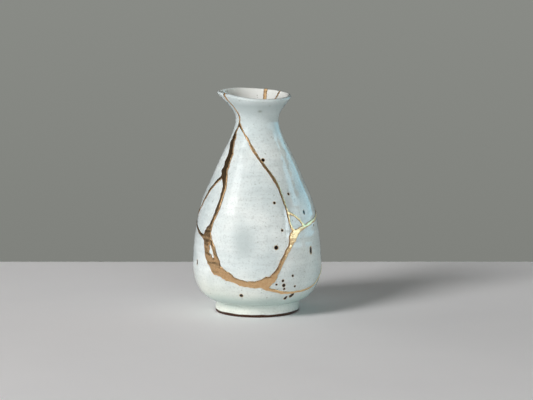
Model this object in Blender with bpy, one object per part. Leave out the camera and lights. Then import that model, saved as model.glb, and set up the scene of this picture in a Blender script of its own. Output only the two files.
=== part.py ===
"""A small stoneware bottle vase with a pulled lip, broken and mended with raised gold lacquer.

The vessel is turned about +Z, with the middle of its foot on the origin and its front towards -Y.
It is cut right through the wall along the cracks, so each shard is a solid of its own, and one
network of gold lacquer fills the cracks and stands proud of the glaze. Lengths are in metres.
"""

import math

import bmesh
import bpy
import numpy as np
from mathutils import Vector
from mathutils.bvhtree import BVHTree

# Foot ring
FOOT_RADIUS = 0.0260
FOOT_HEIGHT = 0.0075
FOOT_RING_WIDTH = 0.0055
FOOT_RECESS = 0.0055
FOOT_CHAMFER = 0.0007

# Body, neck and lip, outside
BELLY_RADIUS = 0.0401
BELLY_HEIGHT = 0.0305
NECK_RADIUS = 0.01325
NECK_HEIGHT = 0.1205
LIP_RADIUS = 0.0208
FLARE_HEIGHT = 0.0162
LIP_HEIGHT = NECK_HEIGHT + FLARE_HEIGHT

# Wall thicknesses
BELLY_WALL = 0.0040
NECK_WALL = 0.0030
LIP_WALL = 0.0023
LIP_EDGE_DROP = 0.75 * LIP_WALL  # the half-round lip starts this far below its top

# The hand-made lip: it is pulled out into a spout and it isn't level
SPOUT_ANGLE = -80.0
SPOUT_SPREAD = 26.0
SPOUT_PULL = 0.0042
SPOUT_START = 0.0150
SPOUT_EASE = 1.6
LIP_RISE_LEFT = 0.0015
LIP_RISE_BACK = 0.0006
LIP_SAG = 0.0007
WARP_START = 0.1  # as a share of the flare's height, below the narrowest point of the neck

# Gold lacquer
SEAM_WIDTH = 0.0030
SEAM_CROWN = 0.0004
SEAM_EDGE = 0.0001
SEAM_INNER = 0.00025
SEAM_OVER_LIP = 0.00065
SEAM_STEP = 0.0042
SHARD_GAP = 0.0003
SLOT_EXTRA = 0.0020  # how much deeper than the wall a crack is cut
LIP_OVERRUN = 2 * LIP_WALL  # how far a crack's cut runs on past the lip

# How finely the vessel is turned
SIDES = 40
BOWL_STEPS = 5
BODY_STEP = 0.0096
FLARE_STEP = BODY_STEP / 2
LIP_STEPS = 3
SHARP_ANGLE = 35.0

# The side of the body, from belly to neck: share of the way up, share of the narrowing
BODY_CURVE = (
    (0.00, 0.000),
    (0.14, 0.032),
    (0.28, 0.100),
    (0.43, 0.216),
    (0.58, 0.430),
    (0.745, 0.675),
    (0.865, 0.874),
    (0.95, 0.976),
    (1.00, 1.000),
)

# The flare, from neck to lip: share of the way up, share of the widening
FLARE_CURVE = ((0.00, 0.00), (0.28, 0.14), (0.63, 0.53), (1.00, 1.00))

# Cracks. Each point is an angle from the front in degrees, with the right side positive, a share
# of the lip's height, and a share of the seam width. The hidden back is a maker's guess.
MAIN_CRACK = (
    (-60, 1.000, 0.70),
    (-60, 0.970, 0.55),
    (-55, 0.930, 0.60),
    (-53, 0.885, 0.55),
    (-57, 0.850, 0.50),
    (-62, 0.820, 0.80),
    (-61, 0.790, 1.40),
    (-54, 0.740, 1.45),
    (-50, 0.645, 1.60),
    (-44, 0.600, 1.05),
    (-42, 0.550, 0.90),
    (-45, 0.480, 0.90),
    (-51, 0.409, 1.10),
    (-53, 0.375, 2.40),
    (-53, 0.343, 2.30),
    (-53, 0.310, 1.30),
    (-48, 0.268, 1.55),
    (-40, 0.232, 2.30),
    (-31, 0.211, 1.95),
    (-18, 0.183, 1.25),
    (-8, 0.172, 1.25),
    (2, 0.171, 1.65),
    (11, 0.187, 1.80),
    (18, 0.228, 1.15),
    (26, 0.297, 0.90),
    (32, 0.343, 1.10),
    (38, 0.388, 2.00),
    (45, 0.406, 0.95),
    (60, 0.421, 0.70),
    (78, 0.435, 0.55),
    (96, 0.455, 0.60),
    (116, 0.478, 0.60),
    (138, 0.503, 0.70),
    (160, 0.515, 0.70),
    (184, 0.510, 0.80),
    (204, 0.488, 0.60),
    (226, 0.458, 0.60),
    (245, 0.436, 0.60),
    (260, 0.424, 0.60),
    (272, 0.408, 0.50),
    (283, 0.392, 0.55),
    (294, 0.374, 0.70),
    (304, 0.358, 0.90),
)
LEFT_CRACK = (
    (-49, 0.640, 1.20),
    (-56, 0.625, 0.95),
    (-65, 0.590, 0.75),
    (-72, 0.545, 0.70),
    (-78, 0.490, 0.55),
    (-88, 0.455, 0.55),
    (-100, 0.423, 0.60),
)
SHOULDER_CRACK = (
    (-54, 0.868, 0.55),
    (-46, 0.852, 0.42),
    (-33, 0.828, 0.40),
    (-21, 0.803, 0.42),
    (-10, 0.768, 0.50),
    (9, 0.698, 0.58),
    (19, 0.655, 0.65),
    (26, 0.605, 0.60),
    (30, 0.540, 0.48),
    (32, 0.486, 0.50),
    (34, 0.430, 0.42),
    (38, 0.388, 0.42),
)
TRIANGLE_CRACK = ((32, 0.486, 0.42), (38, 0.474, 0.38), (45, 0.450, 0.38), (52, 0.414, 0.45))
SPLINTER_CRACK = (
    (-50, 0.365, 0.90),
    (-44, 0.330, 0.95),
    (-40, 0.292, 0.95),
    (-36, 0.249, 1.10),
    (-32, 0.213, 0.90),
)
LOW_CRACK = (
    (0, 0.172, 1.00),
    (10, 0.149, 0.85),
    (20, 0.133, 0.62),
    (34, 0.124, 0.52),
    (50, 0.125, 0.50),
    (64, 0.134, 0.50),
    (76, 0.160, 0.48),
    (88, 0.194, 0.50),
    (104, 0.225, 0.55),
    (126, 0.250, 0.60),
    (150, 0.268, 0.60),
    (176, 0.298, 0.75),
    (196, 0.330, 0.60),
    (212, 0.375, 0.60),
    (221, 0.420, 0.60),
    (226, 0.460, 0.60),
)
BACK_CRACK = (
    (164, 1.000, 0.80),
    (162, 0.930, 0.75),
    (167, 0.850, 0.70),
    (174, 0.765, 0.85),
    (181, 0.670, 0.65),
    (180, 0.585, 0.65),
    (184, 0.510, 0.80),
    (189, 0.430, 0.60),
    (184, 0.360, 0.60),
    (177, 0.298, 0.70),
)
RIM_CRACK = (
    (133, 1.000, 0.48),
    (136, 0.930, 0.46),
    (145, 0.865, 0.46),
    (158, 0.808, 0.50),
    (174, 0.762, 0.60),
)

CRACKS = (
    MAIN_CRACK,
    LEFT_CRACK,
    SHOULDER_CRACK,
    TRIANGLE_CRACK,
    SPLINTER_CRACK,
    LOW_CRACK,
    BACK_CRACK,
    RIM_CRACK,
)

# A point inside each shard: angle from the front, share of the lip's height
SHARDS = {
    "shard_base": (0, 0.100),
    "shard_front_panel": (-8, 0.400),
    "shard_left_lens": (-64, 0.470),
    "shard_splinter": (-46, 0.305),
    "shard_spout": (-110, 0.800),
    "shard_neck": (60, 0.750),
    "shard_rim_wedge": (150, 0.920),
    "shard_small_triangle": (40, 0.445),
    "shard_right_panel": (80, 0.300),
    "shard_back_panel": (203, 0.420),
}


def through(knots, places):
    """Read a smooth curve through the knots, rows of (parameter, values...), at the places."""
    table = np.array(knots, float)
    at, values = table[:, 0], table[:, 1:]
    slopes = np.gradient(values, at, axis=0)
    found = []
    for place in places:
        i = int(np.clip(np.searchsorted(at, place) - 1, 0, len(at) - 2))
        span = at[i + 1] - at[i]
        t = (place - at[i]) / span
        found.append(
            (2 * t**3 - 3 * t**2 + 1) * values[i]
            + (t**3 - 2 * t**2 + t) * span * slopes[i]
            + (3 * t**2 - 2 * t**3) * values[i + 1]
            + (t**3 - t**2) * span * slopes[i + 1]
        )
    return np.array(found)


def bowl_outline():
    """The rounded underside, a quarter ellipse from the foot ring out to the belly."""
    turns = np.linspace(0, math.pi / 2, BOWL_STEPS + 1)
    radii = FOOT_RADIUS + (BELLY_RADIUS - FOOT_RADIUS) * np.sin(turns)
    heights = FOOT_HEIGHT + (BELLY_HEIGHT - FOOT_HEIGHT) * (1 - np.cos(turns))
    return np.stack([radii, heights], 1)


def side_outline():
    """The outside of the body, neck and flare, from just above the belly to the lip's edge."""
    lip_edge = LIP_HEIGHT - LIP_EDGE_DROP
    body = np.array(BODY_CURVE[1:]) * (NECK_HEIGHT - BELLY_HEIGHT, NECK_RADIUS - BELLY_RADIUS)
    flare = np.array(FLARE_CURVE[1:]) * (lip_edge - NECK_HEIGHT, LIP_RADIUS - NECK_RADIUS)
    body += (BELLY_HEIGHT, BELLY_RADIUS)
    flare += (NECK_HEIGHT, NECK_RADIUS)
    knots = np.vstack([[BELLY_HEIGHT, BELLY_RADIUS], body, flare])
    steps = max(4, round((NECK_HEIGHT - BELLY_HEIGHT) / BODY_STEP))
    flare_steps = max(3, round((lip_edge - NECK_HEIGHT) / FLARE_STEP))
    heights = np.concatenate(
        [
            np.linspace(BELLY_HEIGHT, NECK_HEIGHT, steps + 1)[1:],
            np.linspace(NECK_HEIGHT, lip_edge, flare_steps + 1)[1:],
        ]
    )
    return np.stack([through(knots, heights)[:, 0], heights], 1)


OUTSIDE = np.vstack([bowl_outline(), side_outline()])


def outward(outline):
    """The unit normals of an outline that runs up the outside."""
    along = np.gradient(outline, axis=0)
    along /= np.linalg.norm(along, axis=1)[:, None]
    return np.stack([along[:, 1], -along[:, 0]], 1)


def wall_at(heights):
    """The wall's thickness at these heights of the outside."""
    return np.interp(
        heights, [BELLY_HEIGHT, NECK_HEIGHT, LIP_HEIGHT], [BELLY_WALL, NECK_WALL, LIP_WALL]
    )


def vessel_outline(grow=0.0, inner_grow=0.0):
    """The whole section from the middle of the floor inside to the middle of the recess below."""
    normals = outward(OUTSIDE)
    normals[0] = (0, -1)
    outside = OUTSIDE + normals * grow
    inside = OUTSIDE - normals * (wall_at(OUTSIDE[:, 1]) + inner_grow)[:, None]
    middle = (outside[-1] + inside[-1]) / 2
    arm = outside[-1] - middle
    over = np.array([-arm[1], arm[0]])
    turns = np.linspace(0, math.pi, LIP_STEPS + 1)[1:-1]
    lip = [middle + arm * math.cos(turn) + over * math.sin(turn) for turn in turns]
    ring = FOOT_RADIUS - FOOT_RING_WIDTH
    foot = [
        (0, FOOT_RECESS),
        (ring, FOOT_RECESS),
        (ring + FOOT_CHAMFER, 0),
        (FOOT_RADIUS - FOOT_CHAMFER + grow, 0),
        (FOOT_RADIUS + grow, FOOT_CHAMFER),
    ]
    floor = [(0, inside[0][1])]
    return foot + list(outside) + lip + list(inside[::-1]) + floor


def turned(name, outline):
    """Turn an outline that runs from axis to axis into a closed solid."""
    mesh = bmesh.new()
    points = [mesh.verts.new((radius, 0, height)) for radius, height in outline]
    edges = [mesh.edges.new(pair) for pair in zip(points, points[1:])]
    bmesh.ops.spin(
        mesh,
        geom=points + edges,
        cent=(0, 0, 0),
        axis=(0, 0, 1),
        angle=2 * math.pi,
        steps=SIDES,
        use_merge=True,
    )
    bmesh.ops.remove_doubles(mesh, verts=mesh.verts, dist=1e-6)
    bmesh.ops.recalc_face_normals(mesh, faces=mesh.faces)
    return placed(name, mesh)


def placed(name, mesh):
    """Put a finished bmesh in the scene as an object."""
    data = bpy.data.meshes.new(name)
    mesh.to_mesh(data)
    mesh.free()
    obj = bpy.data.objects.new(name, data)
    bpy.context.scene.collection.objects.link(obj)
    return obj


def on_surface(angle, share):
    """A point of the turned outside and its outward normal, at an angle in degrees."""
    height = share * LIP_HEIGHT
    edge, before = OUTSIDE[-1], OUTSIDE[-2]
    radius = np.interp(height, OUTSIDE[:, 1], OUTSIDE[:, 0])
    if height > edge[1]:
        radius = edge[0] + (height - edge[1]) * (edge[0] - before[0]) / (edge[1] - before[1])
    normals = outward(OUTSIDE)
    across = Vector([np.interp(height, OUTSIDE[:, 1], normals[:, i]) for i in (0, 1)])
    across.normalize()
    turn = math.radians(angle)
    side = Vector((math.sin(turn), -math.cos(turn), 0))
    return side * radius + Vector((0, 0, height)), side * across.x + Vector((0, 0, across.y))


def stations(crack, overrun):
    """Points along a crack at an even step: position, normal, width and direction.

    The two ends run on by the overrun, and an end at the lip runs on past it.
    """
    spots = [on_surface(angle, share)[0] for angle, share, _ in crack]
    along = np.concatenate([[0], np.cumsum([(b - a).length for a, b in zip(spots, spots[1:])])])
    count = max(2, round(along[-1] / SEAM_STEP))
    places = np.linspace(0, along[-1], count + 1)
    knots = np.column_stack([along, np.array(crack, float)])
    rows = through(knots, places)
    found = [on_surface(angle, share) + (width * SEAM_WIDTH,) for angle, share, width in rows]
    if crack[0][1] == 1.0:
        point, normal, width = found[0]
        ahead = (point - found[1][0]).normalized()
        found.insert(0, (point + ahead * LIP_OVERRUN, normal, width))
    points = [point for point, _, _ in found]
    directions = [
        (points[min(i + 1, len(points) - 1)] - points[max(i - 1, 0)]).normalized()
        for i in range(len(points))
    ]
    found[0][0][:] = points[0] - directions[0] * overrun
    found[-1][0][:] = points[-1] + directions[-1] * overrun
    return [row + (direction,) for row, direction in zip(found, directions)]


def swept(name, crack, section, overrun=0.0):
    """Extrude a section along a crack. The section is a function of the crack's width and the wall."""
    mesh = bmesh.new()
    rings = []
    for point, normal, width, direction in stations(crack, overrun):
        side = direction.cross(normal).normalized()
        wall = wall_at(point.z)
        rings.append([point + side * u + normal * v for u, v in section(width, wall)])
    face = mesh.faces.new([mesh.verts.new(co) for co in rings[0]])
    corners = list(face.verts)
    for ring in rings[1:]:
        edges = [mesh.edges.get((a, b)) for a, b in zip(corners, corners[1:] + corners[:1])]
        made = bmesh.ops.extrude_edge_only(mesh, edges=edges)["geom"]
        new_verts = [item for item in made if isinstance(item, bmesh.types.BMVert)]
        ordered = [
            next(v for v in new_verts if any(e.other_vert(v) is corner for e in v.link_edges))
            for corner in corners
        ]
        for vert, co in zip(ordered, ring):
            vert.co = co
        corners = ordered
    mesh.faces.new(corners)
    bmesh.ops.recalc_face_normals(mesh, faces=mesh.faces)
    return placed(name, mesh)


def seam_section(width, wall):
    """A crowned strip: low at its edges, proud in its middle, and a little deeper than the wall."""
    half = width / 2
    crown = min(SEAM_CROWN, width / 4)
    deep = wall + SEAM_INNER
    return [(-half, -deep), (half, -deep), (half, SEAM_EDGE), (0, crown), (-half, SEAM_EDGE)]


def slot_section(width, wall):
    """The slot that a seam fills, wider by the gap on each side and deeper than the seam."""
    half = width / 2 + SHARD_GAP
    deep = wall + SLOT_EXTRA
    return [(-half, -deep), (half, -deep), (half, deep), (-half, deep)]


def combined(target, operation, others):
    """Apply a Boolean of the others to the target, and remove the others."""
    group = bpy.data.collections.new(target.name + "_cutters")
    bpy.context.scene.collection.children.link(group)
    for other in others:
        group.objects.link(other)
    cut = target.modifiers.new("cut", "BOOLEAN")
    cut.operation = operation
    cut.use_self = True
    if operation == "INTERSECT":
        cut.object = others[0]
    else:
        cut.operand_type = "COLLECTION"
        cut.collection = group
    bpy.context.view_layer.update()
    result = target.evaluated_get(bpy.context.evaluated_depsgraph_get())
    mesh = bpy.data.meshes.new_from_object(result)
    target.modifiers.clear()
    target.data = mesh
    for other in others:
        bpy.data.objects.remove(other)
    bpy.data.collections.remove(group)
    return target


def loose_pieces(mesh):
    """Split a mesh into its separate bodies, each a bmesh of its own."""
    whole = bmesh.new()
    whole.from_mesh(mesh)
    unseen = set(whole.verts)
    pieces = []
    while unseen:
        front = [unseen.pop()]
        body = set(front)
        while front:
            vert = front.pop()
            for edge in vert.link_edges:
                other = edge.other_vert(vert)
                if other not in body:
                    body.add(other)
                    unseen.discard(other)
                    front.append(other)
        piece = whole.copy()
        keep = {vert.index for vert in body}
        piece.verts.ensure_lookup_table()
        gone = [vert for vert in piece.verts if vert.index not in keep]
        bmesh.ops.delete(piece, geom=gone, context="VERTS")
        pieces.append(piece)
    whole.free()
    return pieces


def pulled(point):
    """Move a point of the turned vessel to where the hand-made lip has it."""
    start = NECK_HEIGHT - WARP_START * FLARE_HEIGHT
    rise = max(0.0, (point.z - start) / (LIP_HEIGHT - start))
    if rise == 0:
        return point
    eased = rise * rise * (3 - 2 * min(rise, 1))
    radius = math.hypot(point.x, point.y)
    angle = math.degrees(math.atan2(point.x, -point.y))
    off = (angle - SPOUT_ANGLE + 180) % 360 - 180
    stretch = max(0.0, (point.z - LIP_HEIGHT + SPOUT_START) / SPOUT_START) ** SPOUT_EASE
    pull = SPOUT_PULL * stretch * math.exp(-((off / SPOUT_SPREAD) ** 2))
    lift = eased * (LIP_RISE_BACK * point.y - LIP_RISE_LEFT * point.x) / LIP_RADIUS
    lift -= eased * LIP_SAG * math.cos(math.radians(angle)) ** 2
    outwards = Vector((math.sin(math.radians(SPOUT_ANGLE)), -math.cos(math.radians(SPOUT_ANGLE)), 0))
    near = min(1.0, radius / NECK_RADIUS)
    return point + outwards * pull * near + Vector((0, 0, lift))


def coloured(name, colour, roughness, metallic):
    """A plain Principled material."""
    material = bpy.data.materials.new(name)
    material.use_nodes = True
    shader = material.node_tree.nodes["Principled BSDF"]
    shader.inputs["Base Color"].default_value = (*colour, 1)
    shader.inputs["Roughness"].default_value = roughness
    shader.inputs["Metallic"].default_value = metallic
    return material


def finished(name, mesh, material):
    """Shape the lip, then put a piece in the scene with its material and smooth shading."""
    for vert in mesh.verts:
        vert.co = pulled(vert.co.copy())
    bmesh.ops.triangulate(mesh, faces=mesh.faces)
    obj = placed(name, mesh)
    obj.data.materials.clear()
    obj.data.materials.append(material)
    obj.data.shade_smooth()
    obj.data.set_sharp_from_angle(angle=math.radians(SHARP_ANGLE))
    return obj


def make_gold(material):
    """One lacquer network, a little proud of the wall inside, outside and at the lip."""
    strips = [swept(f"strip_{i}", crack, seam_section) for i, crack in enumerate(CRACKS)]
    network = combined(strips[0], "UNION", strips[1:])
    envelope = turned("envelope", vessel_outline(SEAM_OVER_LIP, LIP_WALL))
    network = combined(network, "INTERSECT", [envelope])
    mesh = bmesh.new()
    mesh.from_mesh(network.data)
    bpy.data.objects.remove(network)
    return finished("gold_seams", mesh, material)


def make_shards(material):
    """Cut the turned vessel along every crack and name its shards by the points inside them."""
    slots = [swept(f"slot_{i}", crack, slot_section, SHARD_GAP) for i, crack in enumerate(CRACKS)]
    vessel = combined(turned("vessel", vessel_outline()), "DIFFERENCE", slots)
    pieces = loose_pieces(vessel.data)
    bpy.data.objects.remove(vessel)
    trees = [BVHTree.FromBMesh(piece) for piece in pieces]
    for name, (angle, share) in SHARDS.items():
        spot = on_surface(angle, share)[0]
        nearest = min(range(len(pieces)), key=lambda i: trees[i].find_nearest(spot)[3])
        finished(name, pieces[nearest].copy(), material)


def main():
    """Make the shards and the gold that holds them."""
    for obj in list(bpy.data.objects):
        bpy.data.objects.remove(obj)
    glaze = coloured("pale_celadon_glaze", (0.68, 0.76, 0.76), 0.12, 0.0)
    gold = coloured("gold_lacquer", (0.72, 0.45, 0.20), 0.28, 1.0)
    make_shards(glaze)
    make_gold(gold)


main()
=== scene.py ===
"""The looks of a small kintsugi vase: glazed stoneware shards held together by raised gold lacquer.

The vase stands on its foot at the origin, with its front towards -Y. The shards are cut from one
finely turned vessel, and the gold runs over the cracks between them. Lengths are in metres.
"""

import logging
import math
from dataclasses import dataclass, field
from enum import Enum

import bmesh
import bpy
import numpy as np
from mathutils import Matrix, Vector, noise
from mathutils.bvhtree import BVHTree
from mathutils.kdtree import KDTree


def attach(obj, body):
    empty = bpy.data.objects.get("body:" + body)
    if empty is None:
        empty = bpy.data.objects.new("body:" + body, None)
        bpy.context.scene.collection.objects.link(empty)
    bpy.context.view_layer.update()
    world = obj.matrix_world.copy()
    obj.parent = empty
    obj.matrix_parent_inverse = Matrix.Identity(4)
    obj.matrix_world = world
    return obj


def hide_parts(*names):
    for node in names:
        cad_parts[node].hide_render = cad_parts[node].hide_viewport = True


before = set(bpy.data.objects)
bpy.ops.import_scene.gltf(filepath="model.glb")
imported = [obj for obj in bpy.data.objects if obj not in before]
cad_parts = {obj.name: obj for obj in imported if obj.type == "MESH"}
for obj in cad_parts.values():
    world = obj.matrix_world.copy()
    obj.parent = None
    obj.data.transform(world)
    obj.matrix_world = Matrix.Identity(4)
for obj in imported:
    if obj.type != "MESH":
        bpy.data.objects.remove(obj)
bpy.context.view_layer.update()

LOG = logging.getLogger("kintsugi_vase")
MM = 0.001
BODY = "root"
MERGE_DISTANCE = 1e-6

Tree = bpy.types.NodeTree
Socket = bpy.types.NodeSocket
Crack = tuple[tuple[float, float, float], ...]
Stops = tuple[tuple[float, float | str], ...]

# Each point of a crack is an angle from the front in degrees, with the right side positive, a share
# of the lip's height, and a share of the seam width. The hidden back is a maker's guess.
MAIN_CRACK: Crack = (
    (-60, 1.000, 0.48),
    (-60, 0.970, 0.38),
    (-55, 0.930, 0.40),
    (-53, 0.885, 0.42),
    (-57, 0.850, 0.44),
    (-62, 0.820, 0.80),
    (-61, 0.790, 1.40),
    (-54, 0.740, 1.45),
    (-50, 0.645, 1.60),
    (-44, 0.600, 1.05),
    (-42, 0.550, 0.90),
    (-45, 0.480, 0.90),
    (-51, 0.409, 1.10),
    (-53, 0.375, 2.40),
    (-53, 0.343, 2.30),
    (-53, 0.310, 1.30),
    (-48, 0.268, 1.55),
    (-40, 0.232, 2.30),
    (-31, 0.211, 1.95),
    (-18, 0.183, 1.25),
    (-8, 0.172, 1.25),
    (2, 0.171, 1.65),
    (11, 0.187, 1.80),
    (18, 0.228, 1.15),
    (26, 0.297, 0.90),
    (32, 0.343, 1.10),
    (38, 0.388, 2.00),
    (45, 0.406, 0.95),
    (60, 0.421, 0.82),
    (78, 0.435, 0.65),
    (96, 0.455, 0.60),
    (116, 0.478, 0.60),
    (138, 0.503, 0.70),
    (160, 0.515, 0.70),
    (184, 0.510, 0.80),
    (204, 0.488, 0.60),
    (226, 0.458, 0.60),
    (245, 0.436, 0.60),
    (260, 0.424, 0.60),
    (272, 0.408, 0.50),
    (283, 0.392, 0.55),
    (294, 0.374, 0.70),
    (304, 0.358, 0.90),
)
LEFT_CRACK: Crack = (
    (-49, 0.640, 1.20),
    (-56, 0.625, 0.95),
    (-65, 0.590, 0.75),
    (-72, 0.545, 0.70),
    (-78, 0.490, 0.55),
    (-88, 0.455, 0.55),
    (-100, 0.423, 0.60),
)
SHOULDER_CRACK: Crack = (
    (-54, 0.868, 0.55),
    (-46, 0.852, 0.42),
    (-33, 0.828, 0.40),
    (-21, 0.803, 0.42),
    (-10, 0.768, 0.50),
    (9, 0.698, 0.58),
    (19, 0.655, 0.65),
    (26, 0.605, 0.60),
    (30, 0.540, 0.52),
    (32, 0.486, 0.58),
    (34, 0.430, 0.56),
    (38, 0.388, 0.56),
)
TRIANGLE_CRACK: Crack = ((32, 0.486, 0.56), (38, 0.474, 0.52), (45, 0.450, 0.52), (52, 0.414, 0.58))
SPLINTER_CRACK: Crack = (
    (-50, 0.365, 0.90),
    (-44, 0.330, 0.95),
    (-40, 0.292, 0.95),
    (-36, 0.249, 1.10),
    (-32, 0.213, 0.90),
)
LOW_CRACK: Crack = (
    (0, 0.172, 1.00),
    (10, 0.149, 0.85),
    (20, 0.133, 0.62),
    (34, 0.124, 0.52),
    (50, 0.125, 0.50),
    (64, 0.134, 0.50),
    (76, 0.160, 0.48),
    (88, 0.194, 0.50),
    (104, 0.225, 0.55),
    (126, 0.250, 0.60),
    (150, 0.268, 0.60),
    (176, 0.298, 0.75),
    (196, 0.330, 0.60),
    (212, 0.375, 0.60),
    (221, 0.420, 0.60),
    (226, 0.460, 0.60),
)
BACK_CRACK: Crack = (
    (164, 1.000, 0.80),
    (162, 0.930, 0.75),
    (167, 0.850, 0.70),
    (174, 0.765, 0.85),
    (181, 0.670, 0.65),
    (180, 0.585, 0.65),
    (184, 0.510, 0.80),
    (189, 0.430, 0.60),
    (184, 0.360, 0.60),
    (177, 0.298, 0.70),
)
RIM_CRACK: Crack = (
    (133, 1.000, 0.48),
    (136, 0.930, 0.46),
    (145, 0.865, 0.46),
    (158, 0.808, 0.50),
    (174, 0.762, 0.60),
)
CRACKS = (
    MAIN_CRACK,
    LEFT_CRACK,
    SHOULDER_CRACK,
    TRIANGLE_CRACK,
    SPLINTER_CRACK,
    LOW_CRACK,
    BACK_CRACK,
    RIM_CRACK,
)

# A hairline inside the spout that parts nothing: angle, millimetres down from the lip's top, and a
# share of the seam width
HAIRLINE: Crack = (
    (-60, 0.0, 0.42),
    (-67, 2.0, 0.36),
    (-78, 3.4, 0.32),
    (-90, 3.4, 0.32),
    (-101, 2.8, 0.32),
    (-112, 2.9, 0.45),
)

# A point inside each shard: angle from the front, share of the lip's height
SHARDS = {
    "shard_base": (0, 0.100),
    "shard_front_panel": (-8, 0.400),
    "shard_left_lens": (-64, 0.470),
    "shard_splinter": (-46, 0.305),
    "shard_spout": (-110, 0.800),
    "shard_neck": (60, 0.750),
    "shard_rim_wedge": (150, 0.920),
    "shard_small_triangle": (40, 0.445),
    "shard_right_panel": (80, 0.300),
    "shard_back_panel": (203, 0.420),
}


class Side(Enum):
    """Which skin of the wall a seam lies on."""

    OUTSIDE = "outside"
    INSIDE = "inside"


def linear(code: str) -> tuple[float, float, float, float]:
    """Turn an sRGB hex colour into linear values.

    Args:
        code: Six hex digits after a hash.

    Returns:
        Red, green, blue and an alpha of one.
    """
    shares = [int(code[i : i + 2], 16) / 255 for i in (1, 3, 5)]
    red, green, blue = [s / 12.92 if s <= 0.04045 else ((s + 0.055) / 1.055) ** 2.4 for s in shares]
    return red, green, blue, 1.0


def add(
    tree: Tree, kind: str, inputs: dict | None = None, out: int | str = 0, stops: Stops = (), **settings
) -> Socket | None:
    """Add a node with its settings and links.

    Args:
        tree: The node tree.
        kind: The node's type, after the word ShaderNode.
        inputs: Input names or numbers, each with a value, a hex colour or the output that feeds it.
        out: The name or number of the output to hand back.
        stops: A colour ramp's places, each with a hex colour or a grey share.
        **settings: Attributes of the node.

    Returns:
        The chosen output, or None for a node without outputs.
    """
    node = tree.nodes.new("ShaderNode" + kind)
    for name, value in settings.items():
        setattr(node, name, value)
    for name, value in (inputs or {}).items():
        if isinstance(value, bpy.types.NodeSocket):
            tree.links.new(value, node.inputs[name])
        else:
            node.inputs[name].default_value = linear(value) if isinstance(value, str) else value
    if stops:
        elements = node.color_ramp.elements
        while len(elements) < len(stops):
            elements.new(0.5)
        for element, (place, tone) in zip(elements, stops):
            element.position = place
            element.color = linear(tone) if isinstance(tone, str) else (tone, tone, tone, 1)
    return node.outputs[out] if node.outputs else None


def blank(name: str) -> tuple[bpy.types.Material, Tree]:
    """Start a material with no nodes.

    Args:
        name: The material's name.

    Returns:
        The material and its node tree.
    """
    made = bpy.data.materials.new(name)
    made.use_nodes = True
    made.node_tree.nodes.clear()
    return made, made.node_tree


def through(knots: np.ndarray, places: np.ndarray) -> np.ndarray:
    """Read a smooth curve through knots.

    Args:
        knots: Rows of a rising parameter and the values there.
        places: Parameters to read at.

    Returns:
        A row of values for each place.
    """
    table = np.array(knots, float)
    at, values = table[:, 0], table[:, 1:]
    slopes = np.gradient(values, at, axis=0)
    index = np.clip(np.searchsorted(at, places) - 1, 0, len(at) - 2)
    span = (at[index + 1] - at[index])[:, None]
    t = (np.asarray(places)[:, None] - at[index][:, None]) / span
    return (
        (2 * t**3 - 3 * t**2 + 1) * values[index]
        + (t**3 - 2 * t**2 + t) * span * slopes[index]
        + (3 * t**2 - 2 * t**3) * values[index + 1]
        + (t**3 - t**2) * span * slopes[index + 1]
    )


def placed(name: str, mesh: bmesh.types.BMesh) -> bpy.types.Object:
    """Put a finished bmesh in the scene.

    Args:
        name: The object's name.
        mesh: The bmesh, which is freed.

    Returns:
        The object, at the origin.
    """
    data = bpy.data.meshes.new(name)
    mesh.to_mesh(data)
    mesh.free()
    obj = bpy.data.objects.new(name, data)
    bpy.context.scene.collection.objects.link(obj)
    return obj


def applied(obj: bpy.types.Object) -> bpy.types.Object:
    """Turn an object's modifiers into its mesh.

    Args:
        obj: The object.

    Returns:
        The same object, with no modifiers.
    """
    bpy.context.view_layer.update()
    result = obj.evaluated_get(bpy.context.evaluated_depsgraph_get())
    data = bpy.data.meshes.new_from_object(result)
    obj.modifiers.clear()
    obj.data = data
    return obj


def coordinates(data: bpy.types.Mesh) -> np.ndarray:
    """Read a mesh's points as rows."""
    found = np.zeros(len(data.vertices) * 3, np.float32)
    data.vertices.foreach_get("co", found)
    return found.reshape(-1, 3).astype(float)


def moved(data: bpy.types.Mesh, points: np.ndarray) -> None:
    """Write a mesh's points.

    Args:
        data: The mesh.
        points: A row for each point.
    """
    data.vertices.foreach_set("co", points.astype(np.float32).ravel())
    data.update()


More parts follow.
